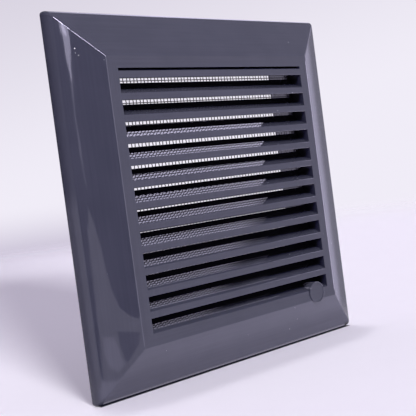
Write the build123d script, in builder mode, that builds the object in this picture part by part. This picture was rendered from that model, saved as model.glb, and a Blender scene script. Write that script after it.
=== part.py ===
from build123d import *
from math import cos, floor, radians, tan, atan2
import os

# A square louvred vent for a wall opening, in millimetres.
# X runs across the vent, Z up, and Y back into the wall.
# The origin is the centre of the plane that lies against the wall, so the front is at minus Y.

# Frame: a flat rim, a sloping border and a rolled outer edge
overall_size = 200.0
bevel_width = 25.0
bevel_angle = 25.0
side_depth = 4.9
roll_radius = 6.5
mitre_radius = 2.0
rim_width = 6.4
skin = 2.2

# Square collar that goes into the wall
collar_wall = 2.0
collar_reach = 10.8
collar_lead_in = 0.8

# Slats: an upright nose, a sloping web and a steeper tail, all of one wall
slat_pitch = 11.3
slat_wall = 1.8
nose_height = 3.6
web_run = 7.5
web_rise = 3.7
tail_run = 2.5
tail_rise = 3.6
slat_edge_radius = 0.35

# Plain round boss across the lower right corner of the opening
boss_diameter = 12.9
boss_in = 10.6
boss_drop = 1.7
boss_proud = 0.8
boss_edge_radius = 0.35
boss_lip = 0.9
boss_recess = 0.25

# Stiffening ribs behind the sloping border, two on each side
rib_wall = 1.6
rib_spacing = 90.0
rib_setback = 1.5

# Net behind the slats, drawn as a coarse grid with a ridge along each strand
net_sheet = 0.6
net_clearance = 0.3
net_border = 2.4
net_strand = 1.6
net_cells = 10
ridge_width = 0.8
ridge_height = 0.4

# Lugs on the collar that hold the net, two on each side
lug_width = 9.0
lug_spacing = 84.0
lug_height = 1.3
lug_depth = 2.6
lug_clearance = 0.1

# Largest share of its wall or room that a rounding may take
rounding_share = 0.98

# Places that follow from the sizes above
half = overall_size / 2
bevel_depth = bevel_width * tan(radians(bevel_angle))
flange_depth = bevel_depth + side_depth
front = -flange_depth
rim_half = half - bevel_width
opening_half = rim_half - rim_width
collar_half = opening_half + collar_wall
seat_half = opening_half + collar_wall / 2
slat_depth = web_run + tail_run
slat_back = front + slat_depth
net_back = slat_back + net_sheet
net_half = opening_half - net_clearance


def frame_section(plane, inset, back):
    """Sketch the frame's outline in depth, or the inner face of its skin, as far back as asked."""
    side = half - inset
    rim_edge = rim_half - inset * tan(radians(bevel_angle / 2))
    shoulder = front + inset + (side - rim_edge) * tan(radians(bevel_angle))
    roll_room = (back - shoulder) / tan(radians(45 - bevel_angle / 2))
    with BuildSketch(plane) as section:
        with BuildLine():
            Polyline(
                (-side, back),
                (-side, shoulder),
                (-rim_edge, front + inset),
                (rim_edge, front + inset),
                (side, shoulder),
                (side, back),
                close=True,
            )
        make_face()
        shoulders = section.vertices().group_by(Axis.Y)[1]
        fillet(shoulders, radius=min(roll_radius - inset, rounding_share * roll_room))
    return section.sketch


def is_mitre(edge):
    """Tell whether an edge runs along a diagonal of the square front."""
    return all(abs(abs(edge.position_at(t).X) - abs(edge.position_at(t).Z)) < 1e-4 for t in (0, 0.5, 1))


# Outer form of the frame: two long sections that cross, so that the borders meet in mitres
with BuildPart() as outer_form:
    extrude(frame_section(Plane.XY, 0, 0), amount=half, both=True)
    extrude(frame_section(Plane.ZY, 0, 0), amount=half, both=True, mode=Mode.INTERSECT)
    fillet(outer_form.edges().filter_by(is_mitre), radius=mitre_radius)

# Hollow behind the skin, open to the wall
with BuildPart() as hollow:
    extrude(frame_section(Plane.XY, skin, skin), amount=half, both=True)
    extrude(frame_section(Plane.ZY, skin, skin), amount=half, both=True, mode=Mode.INTERSECT)

# One slat, with the top front edge of its nose at level zero
with BuildPart() as slat:
    web_angle = atan2(web_rise, web_run)
    tail_angle = atan2(tail_rise, tail_run)
    web_drop = slat_wall / cos(web_angle)
    tail_drop = slat_wall / cos(tail_angle)
    under_run = web_run + (tail_drop - web_drop) / (tan(tail_angle) - tan(web_angle))
    with BuildSketch(Plane.YZ.offset(-seat_half)):
        with BuildLine():
            Polyline(
                (front, 0),
                (front + web_run, web_rise),
                (slat_back, web_rise + tail_rise),
                (slat_back, web_rise + tail_rise - tail_drop),
                (front + under_run, under_run * tan(web_angle) - web_drop),
                (front + slat_wall, slat_wall * tan(web_angle) - web_drop),
                (front + slat_wall, -nose_height),
                (front, -nose_height),
                close=True,
            )
        make_face()
        exposed = [v for v in vertices() if abs(v.X - front) < 1e-6 or abs(v.X - slat_back) < 1e-6]
        fillet(exposed, radius=slat_edge_radius)
    extrude(amount=2 * seat_half)

# The louvre: a sill at the foot of the opening and slats above it, trimmed to the collar's wall
slat_count = floor(2 * opening_half / slat_pitch)
with BuildPart() as louvre:
    with Locations(*[(0, 0, slat_pitch * k - opening_half) for k in range(slat_count + 1)]):
        add(slat.part)
    with Locations((0, (front + slat_back) / 2, 0)):
        Box(2 * seat_half, slat_depth, 2 * seat_half, mode=Mode.INTERSECT)

# Ribs between the collar and the skin
with BuildPart() as ribs:
    with BuildSketch(Plane.XZ.offset(rib_setback)):
        with GridLocations(rib_spacing, 0, 2, 1):
            Rectangle(rib_wall, overall_size)
        with GridLocations(0, rib_spacing, 1, 2):
            Rectangle(overall_size, rib_wall)
        Rectangle(2 * seat_half, 2 * seat_half, mode=Mode.SUBTRACT)
    extrude(amount=flange_depth - rib_setback - skin / 2)
    add(outer_form.part, mode=Mode.INTERSECT)

# Two lugs on the right wall of the collar
with BuildPart() as lug_pair:
    lug_front = net_back + lug_clearance
    for level in (-lug_spacing / 2, lug_spacing / 2):
        with BuildSketch(Plane.XY.offset(level - lug_width / 2)):
            with BuildLine():
                Polyline(
                    (seat_half, lug_front),
                    (opening_half - lug_height, lug_front),
                    (opening_half, lug_front + lug_depth),
                    (seat_half, lug_front + lug_depth),
                    close=True,
                )
            make_face()
        extrude(amount=lug_width)

# Round boss with a low lip around its bare face
with BuildPart() as boss:
    with BuildSketch(Plane.XZ.offset(-slat_back)):
        with Locations((opening_half - boss_in, -opening_half - boss_drop)):
            Circle(boss_diameter / 2)
    extrude(amount=slat_depth + boss_proud)
    boss_edge = boss.edges().group_by(Axis.Y)[0]
    fillet(boss_edge, radius=min(boss_edge_radius, rounding_share * boss_lip))
    with BuildSketch(boss.faces().sort_by(Axis.Y)[0]):
        Circle(boss_diameter / 2 - boss_lip)
    extrude(amount=-boss_recess, mode=Mode.SUBTRACT)

# The whole moulding
with BuildPart() as grille:
    add(outer_form.part)
    add(hollow.part, mode=Mode.SUBTRACT)
    with BuildSketch(Plane.XZ.offset(flange_depth)):
        Rectangle(2 * opening_half, 2 * opening_half)
    extrude(amount=-flange_depth, mode=Mode.SUBTRACT)
    with BuildSketch(Plane.XZ.offset(flange_depth)):
        Rectangle(2 * collar_half, 2 * collar_half)
        Rectangle(2 * opening_half, 2 * opening_half, mode=Mode.SUBTRACT)
    extrude(amount=-(flange_depth + collar_reach))
    lead_in = grille.edges().group_by(Axis.Y)[-1].sort_by(SortBy.LENGTH)[-4:]
    chamfer(lead_in, length=collar_lead_in)
    add(louvre.part)
    add(ribs.part)
    with Locations(*[Location((0, 0, 0), (0, 90 * k, 0)) for k in range(4)]):
        add(lug_pair.part)
    add(boss.part)

# Net: one sheet with square gaps and ridges, flat against the backs of the slats
with BuildPart() as insect_screen:
    gap_pitch = (2 * (net_half - net_border) + net_strand) / net_cells
    gap_span = gap_pitch * net_cells - net_strand
    with BuildSketch(Plane.XZ.offset(-net_back)):
        Rectangle(2 * net_half, 2 * net_half)
        with GridLocations(gap_pitch, gap_pitch, net_cells, net_cells):
            Rectangle(gap_pitch - net_strand, gap_pitch - net_strand, mode=Mode.SUBTRACT)
    extrude(amount=net_sheet)
    with BuildSketch(Plane.XZ.offset(-net_back)):
        with GridLocations(gap_pitch, 0, net_cells - 1, 1):
            Rectangle(ridge_width, gap_span)
        with GridLocations(0, gap_pitch, 1, net_cells - 1):
            Rectangle(gap_span, ridge_width)
    extrude(amount=-ridge_height)

grille.part.label = "grille"
insect_screen.part.label = "insect_screen"

os.makedirs("parts", exist_ok=True)
export_step(grille.part, "parts/grille.step")
export_step(insect_screen.part, "parts/insect_screen.step")

print(f"overall {overall_size:.1f} square, flange {flange_depth:.2f} deep, opening {2 * opening_half:.1f}")
print(f"{slat_count} slats at {slat_pitch:.2f}, {net_cells ** 2} gaps in the net")
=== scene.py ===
# %% [markdown]
# A louvred wall vent, dressed for its picture.
# The vent is one glossy graphite moulding with a dark insect net behind its slats.
# The construction model arrives as a fixed frame in metres: X to the right, Y into the wall, Z up.
# Nothing in that frame is moved.
# Each step below dresses one piece of it, or sets up the small studio around it.

# %% Load the frame
import math

import bmesh
import bpy
from mathutils import Matrix, Vector


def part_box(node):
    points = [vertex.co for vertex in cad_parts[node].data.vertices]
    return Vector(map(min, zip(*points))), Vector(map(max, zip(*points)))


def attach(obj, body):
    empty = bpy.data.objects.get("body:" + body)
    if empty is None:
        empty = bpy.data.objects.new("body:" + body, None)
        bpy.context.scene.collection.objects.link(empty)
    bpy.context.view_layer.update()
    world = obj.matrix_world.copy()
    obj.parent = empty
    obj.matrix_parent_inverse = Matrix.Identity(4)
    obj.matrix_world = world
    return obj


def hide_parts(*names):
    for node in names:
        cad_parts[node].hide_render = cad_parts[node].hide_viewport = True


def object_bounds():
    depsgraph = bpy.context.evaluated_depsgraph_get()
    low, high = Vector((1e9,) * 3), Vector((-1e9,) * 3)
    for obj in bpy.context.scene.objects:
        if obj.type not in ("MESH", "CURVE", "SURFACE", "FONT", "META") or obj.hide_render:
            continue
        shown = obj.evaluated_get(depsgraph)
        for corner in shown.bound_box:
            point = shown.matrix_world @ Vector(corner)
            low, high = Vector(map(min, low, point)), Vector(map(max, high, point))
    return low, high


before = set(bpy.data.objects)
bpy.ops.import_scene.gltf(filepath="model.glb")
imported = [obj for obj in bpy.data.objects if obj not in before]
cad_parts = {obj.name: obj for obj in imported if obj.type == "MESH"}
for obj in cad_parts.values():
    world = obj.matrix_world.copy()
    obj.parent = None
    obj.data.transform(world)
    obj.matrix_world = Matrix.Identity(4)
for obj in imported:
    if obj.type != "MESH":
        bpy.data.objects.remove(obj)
cad_low, cad_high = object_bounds()
MM = 0.001
print("pieces in the frame:", sorted(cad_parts))
print("box of the frame in mm:", [round(c / MM, 1) for c in (*cad_low, *cad_high)])

# %% [markdown]
# The camera stands in front of the vent and well to its left, level with its middle.
# Its place, its line of sight and its long lens were worked out from the vent's corners in the picture.
# A camera looks along its own minus Z with plus Y up.
# Its three axes can therefore be written straight into a matrix.

# %% Camera
PICTURE_SIZE = 416
FOCAL_PIXELS = 833.45
SENSOR_WIDTH = 36.0
CLIP_NEAR = 0.01
CLIP_FAR = 50.0
camera_place = Vector((-321.4, -361.2, 4.1)) * MM
sight = Vector((0.65726, 0.75312, -0.02869)).normalized()
upright = Vector((0.11677, -0.06416, 0.99108))


def link(thing):
    """Put an object in the scene."""
    bpy.context.scene.collection.objects.link(thing)
    return thing


def camera_axes(forward, up):
    """Turn a line of sight and a rough upward direction into a camera's rotation."""
    across = forward.cross(up).normalized()
    return Matrix((across, across.cross(forward), -forward)).transposed().to_4x4()


camera_data = bpy.data.cameras.new("photo_camera")
camera_data.sensor_width = SENSOR_WIDTH
camera_data.lens = FOCAL_PIXELS * SENSOR_WIDTH / PICTURE_SIZE
camera_data.clip_start = CLIP_NEAR
camera_data.clip_end = CLIP_FAR
camera = link(bpy.data.objects.new("photo_camera", camera_data))
camera.matrix_world = Matrix.Translation(camera_place) @ camera_axes(sight, upright)
bpy.context.scene.camera = camera
print(f"lens {camera_data.lens:.1f} mm, {camera_place.length:.2f} m from the vent")

# %% [markdown]
# The grille is one injection moulding: border, rim, slats, boss and collar in a single shot.
# It could be modelled anew, but a copy of the construction mesh keeps every one of those forms.
# The mesh comes as loose triangles, so they are first merged, and flat areas become single faces.

# %% Copy and clean the grille
MERGE_DISTANCE = 1e-7
FLAT_ANGLE = math.radians(0.05)


def merged_copy(node_name, piece_name):
    """Copy a node's mesh, join its loose triangles and merge the flat areas."""
    mesh = bpy.data.meshes.new(piece_name)
    work = bmesh.new()
    work.from_mesh(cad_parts[node_name].data)
    bmesh.ops.remove_doubles(work, verts=work.verts, dist=MERGE_DISTANCE)
    bmesh.ops.dissolve_limit(work, angle_limit=FLAT_ANGLE, verts=work.verts, edges=work.edges)
    work.to_mesh(mesh)
    work.free()
    return link(bpy.data.objects.new(piece_name, mesh))


grille = merged_copy("grille", "grille_moulding")
print("grille faces after merging:", len(grille.data.polygons))

# %% [markdown]
# The sloping border meets the flat rim in a fold of twenty-five degrees.
# A moulded fold is softly rounded, and that is what draws a thin line of light along it.
# The Bevel operator of bmesh rounds just these folds, found by their place on the front plane.
# The boss cuts the lower one in two.

# %% Round the rim's folds
RIM_HALF = 75.0 * MM
FOLD_WIDTH = 0.55 * MM
FOLD_STEPS = 4
SHORTEST_FOLD = RIM_HALF / 10
ROUND_PROFILE = 0.5
NEAR = 0.02 * MM


def is_rim_fold(edge, front):
    """Tell whether an edge is one of the folds between the rim and the sloping border."""
    on_front = all(abs(v.co.y - front) < NEAR for v in edge.verts)
    on_rim = any(all(abs(abs(v.co[axis]) - RIM_HALF) < NEAR for v in edge.verts) for axis in (0, 2))
    return on_front and on_rim and edge.calc_length() > SHORTEST_FOLD


def round_rim_folds(mesh):
    """Round the folds around the rim, and count them and the open edges that are left."""
    work = bmesh.new()
    work.from_mesh(mesh)
    levels = [v.co.y for v in work.verts if abs(abs(v.co.x) - RIM_HALF) < NEAR]
    folds = [edge for edge in work.edges if is_rim_fold(edge, min(levels))]
    bmesh.ops.bevel(
        work,
        geom=folds,
        offset=FOLD_WIDTH,
        offset_type="OFFSET",
        segments=FOLD_STEPS,
        profile=ROUND_PROFILE,
        affect="EDGES",
        clamp_overlap=False,
        loop_slide=True,
    )
    open_edges = sum(not edge.is_manifold for edge in work.edges)
    work.to_mesh(mesh)
    work.free()
    return len(folds), open_edges


print("folds rounded, open edges left:", round_rim_folds(grille.data))

# %% [markdown]
# The borders and slats are flat and their edges are rounded, so the shading has to keep both apart.
# Edges that turn sharply are marked sharp, and all the rest is shaded smooth.
# At the rim's corners the limit is lower, or the flat rim would bend the light along the mitres.
# A Weighted Normal modifier then lets the large flat faces lead.
# That way no shadow creeps over them from a rounding.

# %% Smooth shading
SHARP_ANGLE = math.radians(24)
CORNER_ANGLE = math.radians(10)
CORNER_START = 72.0 * MM


def is_rim_corner(edge):
    """Tell whether an edge lies where a mitre runs out on one of the rim's four corners."""
    across = all(CORNER_START < abs(v.co.x) < RIM_HALF + NEAR for v in edge.verts)
    above = all(CORNER_START < abs(v.co.z) < RIM_HALF + NEAR for v in edge.verts)
    return across and above


def shade_by_angle(mesh, angle, corner_angle):
    """Shade faces smooth, mark the edges that turn more than the angle as sharp, and count them."""
    work = bmesh.new()
    work.from_mesh(mesh)
    for face in work.faces:
        face.smooth = True
    for edge in work.edges:
        limit = corner_angle if is_rim_corner(edge) else angle
        edge.smooth = edge.is_manifold and edge.calc_face_angle() < limit
    sharp = sum(not edge.smooth for edge in work.edges)
    work.to_mesh(mesh)
    work.free()
    return sharp


def weigh_normals(piece):
    """Let large faces lead the shading, so that flat areas stay flat beside roundings."""
    weighted = piece.modifiers.new("large faces lead", "WEIGHTED_NORMAL")
    weighted.mode = "FACE_AREA"
    weighted.keep_sharp = True


def freeze(piece):
    """Replace a piece's mesh by its evaluated one and drop its modifiers."""
    evaluated = piece.evaluated_get(bpy.context.evaluated_depsgraph_get())
    mesh = bpy.data.meshes.new_from_object(evaluated)
    piece.modifiers.clear()
    piece.data = mesh
    mesh.name = piece.name


print("sharp edges:", shade_by_angle(grille.data, SHARP_ANGLE, CORNER_ANGLE))
weigh_normals(grille)
freeze(grille)

# %% [markdown]
# The insect net is a plain weave of dark strands with square cells of about two millimetres.
# An image of a net would look flat from the side, so every strand is real.
# All sizes follow from the box of the construction sheet that the net stands for.

# %% Net sizes
NET_PITCH = 2.35 * MM
STRAND_SIDES = 6
HEM_WIDTH = 1.6 * MM
net_low, net_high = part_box("insect_screen")
net_span = net_high.x - net_low.x
net_middle = (net_low + net_high) / 2
strand_diameter = (net_high.y - net_low.y) / 2
strand_length = net_span - HEM_WIDTH
strand_count = int(strand_length / NET_PITCH)
print(f"net {net_span / MM:.1f} mm wide, {strand_count} strands each way")
print(f"strands {strand_diameter / MM:.2f} mm thick")

# %% [markdown]
# Geometry Nodes repeat things well, so they weave the net.
# A tree starts with a named input for each size, and a few helpers keep its code short.

# %% Net tree
net_sizes = {
    "Pitch": NET_PITCH,
    "Strand Diameter": strand_diameter,
    "Strand Length": strand_length,
    "Hem Width": HEM_WIDTH,
    "Strands": strand_count,
    "Sides": STRAND_SIDES,
}


def feed(tree, socket, value):
    """Give an input socket a plain value, or connect it to an output socket."""
    if isinstance(value, bpy.types.NodeSocket):
        tree.links.new(value, socket)
    else:
        socket.default_value = value


def add_node(tree, kind, feeds=None, **settings):
    """Add a node, set its properties by name, then feed its inputs by name or number."""
    node = tree.nodes.new(kind)
    for name, value in settings.items():
        setattr(node, name, value)
    for socket, value in (feeds or {}).items():
        feed(tree, node.inputs[socket], value)
    return node


def math_node(tree, operation, first, second=0.0):
    """Add a Math node whose inputs are sockets or plain numbers, and give its result."""
    return add_node(tree, "ShaderNodeMath", {0: first, 1: second}, operation=operation).outputs[0]


def new_tree(name, sizes):
    """Start a Geometry Nodes tree with an input for each size, and give its input sockets too."""
    tree = bpy.data.node_groups.new(name, "GeometryNodeTree")
    for label, value in sizes.items():
        kind = "NodeSocketInt" if isinstance(value, int) else "NodeSocketFloat"
        tree.interface.new_socket(label, in_out="INPUT", socket_type=kind)
    tree.interface.new_socket("Net", in_out="OUTPUT", socket_type="NodeSocketGeometry")
    return tree, add_node(tree, "NodeGroupInput").outputs


net_tree, net_inputs = new_tree("woven_net", net_sizes)
print("inputs of the net:", list(net_sizes))

# %% [markdown]
# Each strand rises over one neighbour and dips under the next.
# A straight line is cut into short steps, and a sine lifts its points.
# A small circle swept along it gives the round section.

# %% One strand
STEPS_PER_CELL = 2.0


def vector(tree, **parts):
    """Make a vector from some of its parts, and leave the others at zero."""
    node = add_node(tree, "ShaderNodeCombineXYZ")
    for name, value in parts.items():
        feed(tree, node.inputs[name.upper()], value)
    return node.outputs[0]


def split(tree, whole):
    """Take a vector apart into X, Y and Z."""
    return add_node(tree, "ShaderNodeSeparateXYZ", {0: whole}).outputs


def wavy_strand(tree, sizes):
    """Draw a round strand along X that waves in Y, half a wave to each cell."""
    radius = math_node(tree, "MULTIPLY", sizes["Strand Diameter"], 0.5)
    reach = math_node(tree, "MULTIPLY", sizes["Strand Length"], 0.5)
    start = vector(tree, x=math_node(tree, "MULTIPLY", reach, -1.0))
    end = vector(tree, x=reach)
    line = add_node(tree, "GeometryNodeCurvePrimitiveLine", {"Start": start, "End": end})
    steps = math_node(tree, "MULTIPLY", sizes["Strands"], STEPS_PER_CELL)
    points = math_node(tree, "ADD", steps, 1.0)
    fine = add_node(tree, "GeometryNodeResampleCurve", {"Curve": line.outputs[0], "Count": points})
    place = add_node(tree, "GeometryNodeInputPosition").outputs[0]
    from_start = math_node(tree, "ADD", split(tree, place)["X"], reach)
    cells = math_node(tree, "DIVIDE", from_start, sizes["Pitch"])
    phase = math_node(tree, "MULTIPLY", cells, math.pi)
    wave = math_node(tree, "MULTIPLY", math_node(tree, "SINE", phase), radius)
    lift = vector(tree, y=wave)
    waved = add_node(tree, "GeometryNodeSetPosition", {"Geometry": fine.outputs[0], "Offset": lift})
    section = add_node(
        tree, "GeometryNodeCurvePrimitiveCircle", {"Resolution": sizes["Sides"], "Radius": radius}
    )
    strand = add_node(
        tree,
        "GeometryNodeCurveToMesh",
        {"Curve": waved.outputs[0], "Profile Curve": section.outputs[0], "Fill Caps": True},
    )
    return strand.outputs[0]


one_strand = wavy_strand(net_tree, net_inputs)
print("nodes after one strand:", len(net_tree.nodes))

# %% [markdown]
# The strand is repeated up the opening.
# Every second one is turned half way round, which swaps its rises and dips.
# The whole set, turned by a quarter, gives the strands that cross it, and that makes the weave.

# %% Weave
QUARTER_TURN = math.pi / 2


def join(tree, *meshes):
    """Join several meshes into one."""
    node = add_node(tree, "GeometryNodeJoinGeometry")
    for mesh in meshes:
        feed(tree, node.inputs[0], mesh)
    return node.outputs[0]


def weave(tree, sizes, strand):
    """Repeat a strand up the opening, and cross the set with a turned copy of itself."""
    pitch = sizes["Pitch"]
    gaps = math_node(tree, "SUBTRACT", sizes["Strands"], 1.0)
    first = math_node(tree, "MULTIPLY", math_node(tree, "MULTIPLY", gaps, -0.5), pitch)
    row = add_node(
        tree,
        "GeometryNodeMeshLine",
        {
            "Count": sizes["Strands"],
            "Start Location": vector(tree, z=first),
            "Offset": vector(tree, z=pitch),
        },
        mode="OFFSET",
    )
    index = add_node(tree, "GeometryNodeInputIndex").outputs[0]
    odd = math_node(tree, "MODULO", index, 2.0)
    turn = vector(tree, x=math_node(tree, "MULTIPLY", odd, math.pi))
    weft = add_node(
        tree,
        "GeometryNodeInstanceOnPoints",
        {"Points": row.outputs[0], "Instance": strand, "Rotation": turn},
    )
    weft_mesh = add_node(tree, "GeometryNodeRealizeInstances", {0: weft.outputs[0]}).outputs[0]
    warp = add_node(
        tree, "GeometryNodeTransform", {"Geometry": weft_mesh, "Rotation": (0, QUARTER_TURN, 0)}
    )
    both = join(tree, weft_mesh, warp.outputs[0])
    return add_node(tree, "GeometryNodeSetShadeSmooth", {"Geometry": both}).outputs[0]


woven = weave(net_tree, net_inputs, one_strand)
print("nodes after the weave:", len(net_tree.nodes))

# %% [markdown]
# A cut net frays, so a flat hem runs around it.
# It is an oblong swept along a square path.
# In each corner the oblong stands at half a right angle, which would make the band too narrow.
# So it is drawn wider by the square root of two.

# %% Hem
MITRE_STRETCH = math.sqrt(2)


def rectangle(tree, width, height):
    """Draw a closed oblong curve."""
    node = add_node(
        tree,
        "GeometryNodeCurvePrimitiveQuadrilateral",
        {"Width": width, "Height": height},
        mode="RECTANGLE",
    )
    return node.outputs[0]


def hem_band(tree, sizes):
    """Run a flat band around the net, and stand it upright."""
    path = rectangle(tree, sizes["Strand Length"], sizes["Strand Length"])
    width = math_node(tree, "MULTIPLY", sizes["Hem Width"], MITRE_STRETCH)
    thickness = math_node(tree, "MULTIPLY", sizes["Strand Diameter"], 2.0)
    band = rectangle(tree, width, thickness)
    hem = add_node(tree, "GeometryNodeCurveToMesh", {"Curve": path, "Profile Curve": band})
    upright_hem = add_node(
        tree,
        "GeometryNodeTransform",
        {"Geometry": hem.outputs[0], "Rotation": (QUARTER_TURN, 0, 0)},
    )
    flat_hem = add_node(
        tree,
        "GeometryNodeSetShadeSmooth",
        {"Geometry": upright_hem.outputs[0], "Shade Smooth": False},
    )
    return flat_hem.outputs[0]


net_hem = hem_band(net_tree, net_inputs)
print("nodes after the hem:", len(net_tree.nodes))

# %% [markdown]
# The tree ends in Realize Instances and Set Material, so that the net is one plain mesh with its finish.
# A modifier runs the tree on an empty mesh, and the result is kept in its place.

# %% Grow the net


def end_tree(tree, mesh, material):
    """Close a tree: realize its instances, give them a material and put them out."""
    whole = add_node(tree, "GeometryNodeRealizeInstances", {0: mesh})
    painted = add_node(
        tree, "GeometryNodeSetMaterial", {"Geometry": whole.outputs[0], "Material": material}
    )
    add_node(tree, "NodeGroupOutput", {"Net": painted.outputs[0]})


def grow(piece_name, tree, sizes):
    """Run a tree on an empty mesh with its inputs set, and keep the result as a plain mesh."""
    piece = link(bpy.data.objects.new(piece_name, bpy.data.meshes.new(piece_name)))
    modifier = piece.modifiers.new(tree.name, "NODES")
    modifier.node_group = tree
    for item in tree.interface.items_tree:
        if item.in_out == "INPUT":
            modifier[item.identifier] = sizes[item.name]
    freeze(piece)
    return piece


net_paint = bpy.data.materials.new("dark_net")
end_tree(net_tree, join(net_tree, woven, net_hem), net_paint)
net = grow("woven_net", net_tree, net_sizes)
net.data.transform(Matrix.Translation(net_middle))
print("net triangles:", sum(len(p.vertices) - 2 for p in net.data.polygons))

# %% [markdown]
# Two effects appear on more than one surface, so each becomes a shader node group.
# Moulded plastic is never optically flat: slow waves bend its reflections, and a fine grain softens them.
# The first group gives both as a height, and the slow waves once more as a cloud.
# Groups read Object coordinates, and the pieces stand at the origin, so sizes are given in metres.

# %% Moulded skin


def new_group(name, inputs, outputs):
    """Start a shader node group with named float sockets, and give its tree, inputs and output node."""
    tree = bpy.data.node_groups.new(name, "ShaderNodeTree")
    for label in inputs:
        tree.interface.new_socket(label, in_out="INPUT", socket_type="NodeSocketFloat")
    for label in outputs:
        tree.interface.new_socket(label, in_out="OUTPUT", socket_type="NodeSocketFloat")
    return tree, add_node(tree, "NodeGroupInput").outputs, add_node(tree, "NodeGroupOutput").inputs


def object_place(tree):
    """Give the place on the piece, in metres from the frame's origin."""
    return add_node(tree, "ShaderNodeTexCoord").outputs["Object"]


def noise(tree, place, size, detail=2.0):
    """Add a noise pattern whose features have a given size, and give its value."""
    scale = math_node(tree, "DIVIDE", 1.0, size)
    node = add_node(tree, "ShaderNodeTexNoise", {"Vector": place, "Scale": scale, "Detail": detail})
    return node.outputs["Fac"]


def build_moulded_skin():
    """Build the group for slow waves and fine grain, as a height in metres and a slow cloud."""
    tree, sizes, out = new_group(
        "moulded_skin", ("Wave Size", "Wave Height", "Grain Size", "Grain Height"), ("Height", "Cloud")
    )
    place = object_place(tree)
    wave = noise(tree, place, sizes["Wave Size"], detail=1.0)
    grain = noise(tree, place, sizes["Grain Size"])
    slow = math_node(tree, "MULTIPLY", wave, sizes["Wave Height"])
    fine = math_node(tree, "MULTIPLY", grain, sizes["Grain Height"])
    feed(tree, out["Height"], math_node(tree, "ADD", slow, fine))
    feed(tree, out["Cloud"], wave)
    return tree


moulded_skin = build_moulded_skin()
print(moulded_skin.name, "nodes:", len(moulded_skin.nodes))

# %% [markdown]
# A part that has lain about also carries a few specks of dust.
# The second group scatters one speck in each cell of a Voronoi pattern, and keeps only a share of them; on
# the grille some white ones are painted glints.

# %% Dust specks and painted glints


def build_dust_and_glint_specks():
    """Build the group for sparse round specks, as a mask from zero to one."""
    tree, sizes, out = new_group("dust_and_glint_specks", ("Spacing", "Speck Size", "Share"), ("Mask",))
    scale = math_node(tree, "DIVIDE", 1.0, sizes["Spacing"])
    cells = add_node(tree, "ShaderNodeTexVoronoi", {"Vector": object_place(tree), "Scale": scale})
    distance = math_node(tree, "MULTIPLY", cells.outputs["Distance"], sizes["Spacing"])
    inside = math_node(tree, "LESS_THAN", distance, sizes["Speck Size"])
    shade = add_node(tree, "ShaderNodeSeparateColor", {0: cells.outputs["Color"]})
    lucky = math_node(tree, "LESS_THAN", shade.outputs[0], sizes["Share"])
    feed(tree, out["Mask"], math_node(tree, "MULTIPLY", inside, lucky))
    return tree


dust_and_glint_specks = build_dust_and_glint_specks()
print(dust_and_glint_specks.name, "nodes:", len(dust_and_glint_specks.nodes))

# %% [markdown]
# The grille is moulded in graphite grey with a touch of blue, and polished to a gloss.
# Its reflections are clear, so the roughness is low and changes only a little with the slow waves.
# Along each border the melt has left faint flow lines.
# They are a noise pattern drawn out along the border, and the mitres decide which way it runs.

# %% Flow lines
LINE_LENGTH = 45 * MM
LINE_WIDTH = 0.9 * MM
LINE_HEIGHT = 0.0009 * MM


def new_material(name):
    """Start a material with nodes, and give it with its tree and its shader."""
    material = bpy.data.materials.new(name)
    material.use_nodes = True
    return material, material.node_tree, material.node_tree.nodes["Principled BSDF"]


def mix_number(tree, share, first, second):
    """Mix two numbers, each a socket or a plain value, by a share."""
    feeds = {0: share, 2: first, 3: second}
    return add_node(tree, "ShaderNodeMix", feeds, data_type="FLOAT").outputs[0]


def flow_lines(tree):
    """Draw faint lines along each border: level above and below, upright at the sides."""
    place = object_place(tree)
    parts = split(tree, place)
    across = math_node(tree, "ABSOLUTE", parts["X"])
    above = math_node(tree, "ABSOLUTE", parts["Z"])
    at_side = math_node(tree, "GREATER_THAN", across, above)
    patterns = []
    for wide, tall in ((LINE_LENGTH, LINE_WIDTH), (LINE_WIDTH, LINE_LENGTH)):
        squeeze = (1 / wide, 1 / LINE_LENGTH, 1 / tall)
        squeezed = add_node(tree, "ShaderNodeMapping", {"Vector": place, "Scale": squeeze})
        patterns.append(noise(tree, squeezed.outputs[0], 1.0, detail=1.0))
    return mix_number(tree, at_side, *patterns)


graphite, tree, shader = new_material("graphite_gloss")
lines = flow_lines(tree)
print("graphite nodes after the flow lines:", len(tree.nodes))

# %% [markdown]
# Deep in the slots the plastic is painted darker: painted shade that grows from the noses of the slats to
# the net.
# Dust is sparse all over, and a few white specks below the upper left mitre are dust painted bright as
# glints, a painted highlight.
# Both are measured by place: a smooth step along the depth, and another around a point.

# %% Painted slot shade, and dust with painted glints
OPENING_HALF = 68.6 * MM
PAINTED_SHADE_REACH = (cad_low.y + 1 * MM, cad_low.y + 8 * MM)
GLINT_PATCH = Vector((-87, -11, 81)) * MM
GLINT_PATCH_REACH = (3 * MM, 6 * MM)


def ramp(tree, value, low, high, first=0.0, last=1.0):
    """Turn a value between two limits into a smooth step between two levels."""
    feeds = {"Value": value, "From Min": low, "From Max": high, "To Min": first, "To Max": last}
    node = add_node(tree, "ShaderNodeMapRange", feeds, interpolation_type="SMOOTHSTEP")
    return node.outputs["Result"]


def painted_shade_share(tree):
    """Measure the share of painted shade in the slots: none at the noses, full from the tails to the net.
    """
    parts = split(tree, object_place(tree))
    across = math_node(tree, "ABSOLUTE", parts["X"])
    above = math_node(tree, "ABSOLUTE", parts["Z"])
    farther = math_node(tree, "MAXIMUM", across, above)
    within = math_node(tree, "LESS_THAN", farther, OPENING_HALF + NEAR)
    return math_node(tree, "MULTIPLY", within, ramp(tree, parts["Y"], *PAINTED_SHADE_REACH))


def near_point(tree, point, inner, outer):
    """Measure nearness to a point: full within the inner distance, none beyond the outer one."""
    feeds = {0: object_place(tree), 1: point}
    away = add_node(tree, "ShaderNodeVectorMath", feeds, operation="DISTANCE")
    return ramp(tree, away.outputs["Value"], inner, outer, 1.0, 0.0)


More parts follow.
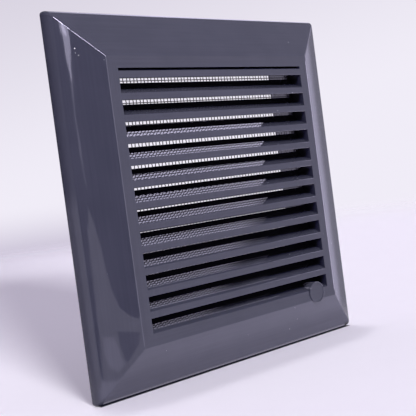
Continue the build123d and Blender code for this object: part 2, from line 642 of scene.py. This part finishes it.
# Painted shade: the plastic darkens with depth in the slots.
painted_slot_shade = painted_shade_share(tree)
# Painted glints: white specks gather around a point below the upper left mitre.
glint_patch = near_point(tree, GLINT_PATCH, *GLINT_PATCH_REACH)
print("graphite nodes after grime and dust:", len(tree.nodes))

# %% [markdown]
# The colour is laid in coats: streaked graphite, then painted shade in the slots, then grey dust, then
# white specks painted as glints.
# The same cloud and dust set the roughness, and the waves, grain and flow lines tilt the surface.

# %% Graphite plastic
GRAPHITE_DEEP = (0.0385, 0.0393, 0.0600, 1)
GRAPHITE_PALE = (0.0435, 0.0441, 0.0665, 1)
SLOT_PAINTED_SHADE = (0.016, 0.016, 0.023, 1)
DUST_GREY = (0.34, 0.34, 0.40, 1)
DUST_GLINT_WHITE = (0.85, 0.84, 0.90, 1)
STREAK_RANGE = (0.3, 0.7)
PLASTIC_IOR = 1.5
POLISH_RANGE = (0.012, 0.030)
DUST_DULLS = 0.4
GRAPHITE_SKIN = {
    "Wave Size": 16 * MM,
    "Wave Height": 0.010 * MM,
    "Grain Size": 1.3 * MM,
    "Grain Height": 0.0004 * MM,
}
GRAPHITE_DUST = {"Spacing": 7 * MM, "Speck Size": 0.22 * MM, "Share": 0.5}
GRAPHITE_GLINT_CRUMBS = {"Spacing": 1.9 * MM, "Speck Size": 0.32 * MM, "Share": 0.5}


def place_group(tree, group, values):
    """Place a node group in a material with its inputs set by name, and give its outputs."""
    return add_node(tree, "ShaderNodeGroup", values, node_tree=group).outputs


def mix_colours(tree, share, first, second):
    """Mix two colours, each a socket or a plain value, by a share."""
    node = add_node(tree, "ShaderNodeMix", {0: share}, data_type="RGBA")
    colours = [socket for socket in node.inputs if socket.type == "RGBA"]
    for socket, value in zip(colours, (first, second)):
        feed(tree, socket, value)
    return next(socket for socket in node.outputs if socket.type == "RGBA")


def remap(tree, value, low, high):
    """Spread a value from zero to one over a range."""
    feeds = {"Value": value, "To Min": low, "To Max": high}
    return add_node(tree, "ShaderNodeMapRange", feeds).outputs["Result"]


def add_bump(tree, height, shader):
    """Let a height in metres tilt the shader's normal."""
    bump = add_node(tree, "ShaderNodeBump", {"Strength": 1.0, "Distance": 1.0, "Height": height})
    feed(tree, shader.inputs["Normal"], bump.outputs["Normal"])


skin = place_group(tree, moulded_skin, GRAPHITE_SKIN)
dust = place_group(tree, dust_and_glint_specks, GRAPHITE_DUST)
glint_crumbs = place_group(tree, dust_and_glint_specks, GRAPHITE_GLINT_CRUMBS)
streaks = math_node(tree, "MULTIPLY", math_node(tree, "ADD", skin["Cloud"], lines), 0.5)
tone = mix_colours(tree, ramp(tree, streaks, *STREAK_RANGE), GRAPHITE_DEEP, GRAPHITE_PALE)
# Painted shade deep in the slots.
tone = mix_colours(tree, painted_slot_shade, tone, SLOT_PAINTED_SHADE)
tone = mix_colours(tree, dust["Mask"], tone, DUST_GREY)
# Painted highlight: white specks stand in for glints below the upper left mitre.
painted_glints = math_node(tree, "MULTIPLY", glint_crumbs["Mask"], glint_patch)
tone = mix_colours(tree, painted_glints, tone, DUST_GLINT_WHITE)
polish = remap(tree, skin["Cloud"], *POLISH_RANGE)
dulled = math_node(tree, "MULTIPLY", dust["Mask"], DUST_DULLS)
line_relief = math_node(tree, "MULTIPLY", lines, LINE_HEIGHT)
feed(tree, shader.inputs["Base Color"], tone)
feed(tree, shader.inputs["Roughness"], math_node(tree, "ADD", polish, dulled))
feed(tree, shader.inputs["IOR"], PLASTIC_IOR)
add_bump(tree, math_node(tree, "ADD", skin["Height"], line_relief), shader)
grille.data.materials.clear()
grille.data.materials.append(graphite)
print("graphite nodes in all:", len(tree.nodes))

# %% [markdown]
# The net is woven from dark plastic-coated strands, nearly black and only slightly shiny.
# It takes the same two groups as the grille with finer sizes.
# They give a grain on the strands and a little dust in the weave.

# %% Net material
NET_DEEP = (0.010, 0.010, 0.012, 1)
NET_PALE = (0.020, 0.020, 0.024, 1)
NET_ROUGHNESS = (0.4, 0.6)
NET_SKIN = {
    "Wave Size": 5 * MM,
    "Wave Height": 0.0,
    "Grain Size": 0.2 * MM,
    "Grain Height": 0.004 * MM,
}
NET_DUST = {"Spacing": 4 * MM, "Speck Size": 0.2 * MM, "Share": 0.25}
net_paint.use_nodes = True
tree = net_paint.node_tree
shader = tree.nodes["Principled BSDF"]
skin = place_group(tree, moulded_skin, NET_SKIN)
dust = place_group(tree, dust_and_glint_specks, NET_DUST)
tone = mix_colours(tree, skin["Cloud"], NET_DEEP, NET_PALE)
feed(tree, shader.inputs["Base Color"], mix_colours(tree, dust["Mask"], tone, DUST_GREY))
feed(tree, shader.inputs["Roughness"], remap(tree, skin["Cloud"], *NET_ROUGHNESS))
add_bump(tree, skin["Height"], shader)
print("net material nodes:", len(tree.nodes))

# %% [markdown]
# Each dressed piece is now handed to the frame.
# It rides on the one fixed body and stands in for its construction node, which is hidden.

# %% Hand the pieces to the frame
for piece, node, slot in ((grille, "grille", "graphite_plastic"), (net, "insect_screen", "net")):
    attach(piece, "root")
    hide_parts(node)
    print(piece.name, "stands for", node)

# %% [markdown]
# The vent stands on pale paper that runs back without an edge.
# The paper is a wide disc, level with the foot of the vent, with a faint mottle.
# A thin dark line of painted shadow runs under the foot, where hardly any light gets in.

# %% Floor
FLOOR_RADIUS = 4.0
FLOOR_SEGMENTS = 96
MOTTLE_SIZE = 0.02
PAPER_COLOUR = (0.92, 0.89, 0.97, 1)
PAPER_SHADE = (0.905, 0.875, 0.955, 1)
PAPER_ROUGHNESS = 0.8
FOOT_MIDDLE = 3.0 * MM
CONTACT_REACH = (1.5 * MM, 3.2 * MM)
CONTACT_INSET = 4 * MM
CONTACT_SHADE = (0.03, 0.03, 0.04, 1)
floor_mesh = bpy.data.meshes.new("pale_floor")
work = bmesh.new()
bmesh.ops.create_circle(work, cap_ends=True, segments=FLOOR_SEGMENTS, radius=FLOOR_RADIUS)
work.to_mesh(floor_mesh)
work.free()
floor_mesh.transform(Matrix.Translation((0, 0, cad_low.z)))
floor = link(bpy.data.objects.new("pale_floor", floor_mesh))
paper, tree, shader = new_material("pale_paper")
place = object_place(tree)
parts = split(tree, place)
to_foot = math_node(tree, "ABSOLUTE", math_node(tree, "ADD", parts["Y"], FOOT_MIDDLE))
at_side = math_node(tree, "SUBTRACT", math_node(tree, "ABSOLUTE", parts["X"]), cad_high.x)
from_base = math_node(tree, "MAXIMUM", to_foot, math_node(tree, "ADD", at_side, CONTACT_INSET))
# Painted shadow: a thin dark line on the paper under the foot of the vent.
painted_contact_shadow = ramp(tree, from_base, *CONTACT_REACH, 1.0, 0.0)
mottled = mix_colours(tree, noise(tree, place, MOTTLE_SIZE), PAPER_SHADE, PAPER_COLOUR)
feed(tree, shader.inputs["Base Color"], mix_colours(tree, painted_contact_shadow, mottled, CONTACT_SHADE))
feed(tree, shader.inputs["Roughness"], PAPER_ROUGHNESS)
feed(tree, shader.inputs["Specular IOR Level"], 0.0)
floor_mesh.materials.append(paper)
print(f"floor at {cad_low.z / MM:.1f} mm")

# %% [markdown]
# The disc fades out before its rim for the camera, so no horizon shows from any side.
# For reflections it fades a hand's breadth from the vent, and the World takes its place.
# For the soft light in the room it stays whole, and it bounces light back up at the vent.

# %% Fade of the floor
SEEN_FADE = (0.8, 1.9)
MIRROR_FADE = (0.01, 0.12)


def mix_shaders(tree, share, first, second):
    """Mix two shaders by a share."""
    return add_node(tree, "ShaderNodeMixShader", {0: share, 1: first, 2: second}).outputs[0]


ray = add_node(tree, "ShaderNodeLightPath").outputs
from_middle = add_node(tree, "ShaderNodeVectorMath", {0: place}, operation="LENGTH").outputs["Value"]
from_vent = math_node(tree, "MAXIMUM", math_node(tree, "ABSOLUTE", parts["Y"]), at_side)
seen_fade = math_node(tree, "MULTIPLY", ramp(tree, from_middle, *SEEN_FADE), ray["Is Camera Ray"])
mirror_fade = math_node(tree, "MULTIPLY", ramp(tree, from_vent, *MIRROR_FADE), ray["Is Glossy Ray"])
fade = math_node(tree, "MAXIMUM", seen_fade, mirror_fade)
clear = add_node(tree, "ShaderNodeBsdfTransparent").outputs[0]
surface = mix_shaders(tree, fade, shader.outputs[0], clear)
feed(tree, tree.nodes["Material Output"].inputs["Surface"], surface)
print("paper nodes:", len(tree.nodes))

# %% [markdown]
# The room is a World with three faces.
# The first is what reflections see, and it models the gloss.
# It is dim at the left, light at the right and below, and dimmer behind and overhead.

# %% World in reflections
UP = (0, 0, 1)
INTO_WALL = (0, 1, 0)
MIRROR_COLOUR = (0.92, 0.875, 1.07, 1)
MIRROR_DIM = 0.20
MIRROR_LIGHT = 0.85
MIRROR_SIDE = (0.9, -0.1, 0.4)
MIRROR_SIDE_RANGE = (-0.5, 0.5)
MIRROR_BELOW = 0.90
HORIZON_RANGE = (-0.02, 0.02)
MIRROR_BEHIND = 0.6
BEHIND_RANGE = (-0.25, 0.1)
MIRROR_OVERHEAD = 0.5
OVERHEAD = (0.25, 0, 1)
OVERHEAD_RANGE = (0.4, 0.85)


def along(tree, gaze, direction):
    """Measure how far a gaze points along a direction."""
    feeds = {0: gaze, 1: direction}
    return add_node(tree, "ShaderNodeVectorMath", feeds, operation="DOT_PRODUCT").outputs["Value"]


world = bpy.data.worlds.new("pale_room")
bpy.context.scene.world = world
world.use_nodes = True
tree = world.node_tree
tree.nodes.clear()
gaze = add_node(tree, "ShaderNodeTexCoord").outputs["Generated"]
height = along(tree, gaze, UP)
side = ramp(tree, along(tree, gaze, MIRROR_SIDE), *MIRROR_SIDE_RANGE, MIRROR_DIM, MIRROR_LIGHT)
behind = ramp(tree, along(tree, gaze, INTO_WALL), *BEHIND_RANGE, 1.0, MIRROR_BEHIND)
overhead = ramp(tree, along(tree, gaze, OVERHEAD), *OVERHEAD_RANGE, 1.0, MIRROR_OVERHEAD)
below = ramp(tree, height, *HORIZON_RANGE, 1.0, 0.0)
room = math_node(tree, "MULTIPLY", math_node(tree, "MULTIPLY", side, behind), overhead)
paper_glow = math_node(tree, "MULTIPLY", behind, MIRROR_BELOW)
mirror_level = mix_number(tree, below, room, paper_glow)
mirror = add_node(tree, "ShaderNodeBackground", {"Color": MIRROR_COLOUR, "Strength": mirror_level})
print("world nodes for reflections:", len(tree.nodes))

# %% [markdown]
# The second face is a pale backdrop for the camera, which darkens gently towards the top.
# At the left a painted shadow in it takes up the end of the vent's long shadow.
# The third is an even, soft fill for all other light.
# A Light Path node tells the three kinds of ray apart.

# %% World for the camera, and fill
BACKDROP_LOW = (0.874, 0.843, 0.932, 1)
BACKDROP_HIGH = (0.66, 0.62, 0.72, 1)
BACKDROP_RISE = (-0.15, 0.1, 1.0)
RISE_RANGE = (0.02, 0.34)
BACKDROP_PAINTED_SHADOW = (0.56, 0.51, 0.645, 1)
SHADE_SIDE = (-0.745, 0.655, 0.13)
SHADE_START = (0.115, 0.145)
SHADE_END = (0.26, 0.4)
SHADE_HEIGHT = (-0.07, 0.004)
FILL_COLOUR = (0.95, 0.86, 1.09, 1)
FILL_STRENGTH = 0.35
rise = ramp(tree, along(tree, gaze, BACKDROP_RISE), *RISE_RANGE)
pale = mix_colours(tree, rise, BACKDROP_LOW, BACKDROP_HIGH)
# Painted shadow on the backdrop at the left, near the floor.
sideways = along(tree, gaze, SHADE_SIDE)
shade_start = ramp(tree, sideways, *SHADE_START)
shade_end = ramp(tree, sideways, *SHADE_END, 1.0, 0.0)
to_side = math_node(tree, "MULTIPLY", shade_start, shade_end)
at_foot = ramp(tree, height, *SHADE_HEIGHT, 1.0, 0.0)
shaded = mix_colours(tree, math_node(tree, "MULTIPLY", at_foot, to_side), pale, BACKDROP_PAINTED_SHADOW)
backdrop = add_node(tree, "ShaderNodeBackground", {"Color": shaded})
fill = add_node(tree, "ShaderNodeBackground", {"Color": FILL_COLOUR, "Strength": FILL_STRENGTH})
ray = add_node(tree, "ShaderNodeLightPath").outputs
lit = mix_shaders(tree, ray["Is Glossy Ray"], fill.outputs[0], mirror.outputs[0])
seen = mix_shaders(tree, ray["Is Camera Ray"], lit, backdrop.outputs[0])
add_node(tree, "ShaderNodeOutputWorld", {"Surface": seen})
print("world nodes in all:", len(tree.nodes))

# %% [markdown]
# A high softbox in front of the vent, a little to its left, lights the plastic and leaves the slots dark.
# Another behind the vent shows the ribs and the collar to anyone who walks round it.
# Two far lamps light only the paper: a low one throws the long soft shadow of the vent back over it,
# and a high one lifts the paper around the foot of the vent.
# Light linking keeps each on its own receiver, and none shows itself to the camera or in the gloss.

# %% Lamps
SOFTBOX_WIDTH = 0.6
SOFTBOX_HEIGHT = 0.5
SOFTBOX_DISTANCE = 1.6
FAR_DISTANCE = 3.0


def hang(data, direction, distance, receivers):
    """Hang a lamp in a direction from the vent, facing it, so that it lights only some pieces."""
    lamp = link(bpy.data.objects.new(data.name, data))
    away = Vector(direction).normalized()
    lamp.location = away * distance
    lamp.rotation_euler = away.to_track_quat("Z", "Y").to_euler()
    lamp.visible_camera = False
    lamp.visible_glossy = False
    lit_by = bpy.data.collections.new(data.name)
    for piece in receivers:
        lit_by.objects.link(piece)
    lamp.light_linking.receiver_collection = lit_by


def softbox(name, radiance):
    """Make a softbox with a given brightness of its face."""
    data = bpy.data.lights.new(name, "AREA")
    data.shape = "RECTANGLE"
    data.size = SOFTBOX_WIDTH
    data.size_y = SOFTBOX_HEIGHT
    data.energy = radiance * math.pi * SOFTBOX_WIDTH * SOFTBOX_HEIGHT
    return data


def far_lamp(name, spread, strength):
    """Make a lamp so far off that it lights everything evenly, with shadows softened by its spread."""
    data = bpy.data.lights.new(name, "SUN")
    data.angle = math.radians(spread)
    data.energy = strength
    return data


hang(softbox("high_softbox", 33.0), (-0.20, -0.70, 0.68), SOFTBOX_DISTANCE, [grille, net])
hang(softbox("rear_softbox", 30.0), (0.5, 0.75, 0.45), SOFTBOX_DISTANCE, [grille, net])
hang(far_lamp("low_lamp", 16.0, 10.2), (-0.29, -0.945, 0.14), FAR_DISTANCE, [floor])
hang(far_lamp("top_lamp", 5.0, 0.55), (0.02, 0.12, 0.99), FAR_DISTANCE, [floor])
print("lamps:", [lamp.name for lamp in bpy.data.lights])

# %% [markdown]
# A product photographer shapes gloss with cards: dark ones draw a deep tone on it, light ones a bright one.
# Each card here is a flat outline that only reflections can see, so it throws no light and no shadow.
# Its outline is inset once, and a vertex attribute runs from zero at the edge to one inside.
# The material reads that attribute for a soft edge.

# %% How a card is made
STEEP = 0.9
HIDDEN_FROM = ("camera", "diffuse", "transmission", "volume_scatter", "shadow")


def card_mesh(name, outline, soft):
    """Make a flat outline with an inset, and a spread attribute that fades over the inset."""
    mesh = bpy.data.meshes.new(name)
    work = bmesh.new()
    spread = work.verts.layers.float.new("spread")
    face = work.faces.new([work.verts.new((x * MM, y * MM, 0)) for x, y in outline])
    face.normal_update()
    bmesh.ops.inset_individual(work, faces=[face], thickness=soft * MM, use_even_offset=True)
    for vert in face.verts:
        vert[spread] = 1.0
    work.to_mesh(mesh)
    work.free()
    return mesh


def card_paint(name, colour, strength):
    """Make a material that glows evenly and fades out where the spread attribute falls to zero."""
    paint = bpy.data.materials.new(name)
    paint.use_nodes = True
    tree = paint.node_tree
    tree.nodes.clear()
    glow = add_node(tree, "ShaderNodeEmission", {"Color": (*colour, 1), "Strength": strength})
    spread = add_node(tree, "ShaderNodeAttribute", attribute_name="spread").outputs["Fac"]
    clear = add_node(tree, "ShaderNodeBsdfTransparent")
    surface = mix_shaders(tree, ramp(tree, spread, 0.0, 1.0), clear.outputs[0], glow.outputs[0])
    add_node(tree, "ShaderNodeOutputMaterial", {"Surface": surface})
    return paint


def card(name, aim, direction, distance, outline, soft, colour, strength):
    """Stand a card in a direction from a point on the vent, facing it. Places and sizes are in mm."""
    mesh = card_mesh(name, outline, soft)
    away = Vector(direction).normalized()
    level = abs(away.z) < STEEP
    across = away.cross(Vector(UP)).normalized() if level else Vector((1, 0, 0))
    turn = Matrix((across, across.cross(away), away)).transposed().to_4x4()
    mesh.transform(Matrix.Translation((Vector(aim) + away * distance) * MM) @ turn)
    mesh.materials.append(card_paint(name, colour, strength))
    piece = link(bpy.data.objects.new(name, mesh))
    for ray in HIDDEN_FROM:
        setattr(piece, f"visible_{ray}", False)
    print(f"{name}: {len(outline)} corners, {distance} mm off")


def oblong(width, height):
    """Give the corners of an oblong around the origin."""
    x, y = width / 2, height / 2
    return [(-x, -y), (x, -y), (x, y), (-x, y)]


# %% [markdown]
# The left border mirrors a dark card with a ragged edge, and small light ones that lie just before it.
# They draw the light patches near the foot, the streak up the border and the glint at its top.
# Their outlines are given as seen along the mirrored line of sight.

# %% Cards for the left border
DARK = (0.012, 0.012, 0.02)
LAVENDER = (0.85, 0.80, 1.06)
left_border = (-85, -12, 0)
facing_left = (-0.275, -0.9614, 0)
dark_outline = [
    (330, 430), (-98, 338), (-65, -205), (-40, -239), (-26, -233),
    (-4, -216), (4, -195), (11, -174), (16, -135), (23, -75),
    (33, -20), (41, -60), (49, -380), (56, -620), (330, -620),
]
vee_outline = [(9, -255), (-39, -263), (-32, -289), (-2, -322), (7, -287)]
zone_outline = [
    (42, -260), (17, -264), (10, -283), (8, -297),
    (2, -321), (16, -337), (35, -326), (42, -291),
]
glint_outline = [(39, 350), (31, 336), (28, 318), (34, 316), (40, 336)]
streak_outline = [
    (41, 360), (25, 339), (25, 312), (28, 274), (33, 232),
    (36, 232), (38, 275), (40, 314), (43, 337),
]
streak_end_outline = [
    (29, 250), (33, 170), (31, 101), (31, 27),
    (33, 27), (37, 101), (38, 170), (37, 250),
]
card("dark_card", left_border, facing_left, 1200, dark_outline, 3, DARK, 1.0)
card("vee_card", left_border, facing_left, 1195, vee_outline, 1, LAVENDER, 0.25)
card("zone_card", left_border, facing_left, 1192, zone_outline, 3, LAVENDER, 1.65)
card("glint_card", left_border, facing_left, 1185, glint_outline, 2.5, LAVENDER, 12.0)
card("streak_card", left_border, facing_left, 1190, streak_outline, 1.6, LAVENDER, 5.5)
card("streak_end_card", left_border, facing_left, 1191, streak_end_outline, 1.6, LAVENDER, 1.5)

# %% [markdown]
# The other cards are larger and lie all around.
# One stands behind the vent, and the slats mirror it with the net before it.
# Another lies deeper in the wall, and the collar's inner side mirrors it.
# Those below, at the right and in front draw the soft tones of the borders, the folds and the mitres.

# %% Cards all around
back_outline = [(-270, -295), (270, -295), (270, 480), (-270, 480)]
mitre_outline = [(198, 38), (46, 196), (-103, -51), (-55, -101)]
card("back_card", (0, 0, 0), (0.636, 0.524, 0.566), 1600, back_outline, 60, LAVENDER, 2.3)
card("collar_card", (68, 114, 10), (-1, 0, 0), 88, oblong(72, 240), 2, LAVENDER, 3.0)
card("floor_card", (20, -36, -50), (0, 0, -1), 49.5, oblong(300, 60), 4, LAVENDER, 1.25)
card("floor_glow_card", (20, -37, -50), (0, 0, -1), 49.2, oblong(300, 50), 12, LAVENDER, 1.8)
card("right_card", (80, -18.5, -20), (1, 0, 0), 200, oblong(83, 460), 6, LAVENDER, 1.35)
card("right_fold_card", (80, -110, -20), (1, 0, 0), 195, oblong(80, 420), 10, LAVENDER, 9.0)
card("foot_card", (0, -6.2, -50), (0, 0, -1), 49.85, oblong(192, 6.6), 0.8, LAVENDER, 1.0)
card("mitre_card", (0, 0, 0), (-0.176, -0.904, 0.39), 1300, mitre_outline, 6, LAVENDER, 70.0)
card("front_card", left_border, (0.12, -0.99, 0), 1200, oblong(260, 800), 50, LAVENDER, 3.0)

# %% [markdown]
# The picture is shown without a film look, so that the pale paper stays pale.
# A short toe in the curve lets the depths of the slots go dark.

# %% Colour
TOE = ((0.012, 0.005), (0.04, 0.038), (0.10, 0.10))
COMBINED_CURVE = 3
look = bpy.context.scene.view_settings
look.view_transform = "Standard"
look.use_curve_mapping = True
curve = look.curve_mapping.curves[COMBINED_CURVE]
for given, shown in TOE:
    curve.points.new(given, shown)
for point in curve.points:
    point.handle_type = "VECTOR"
look.curve_mapping.update()
print("view transform:", look.view_transform)
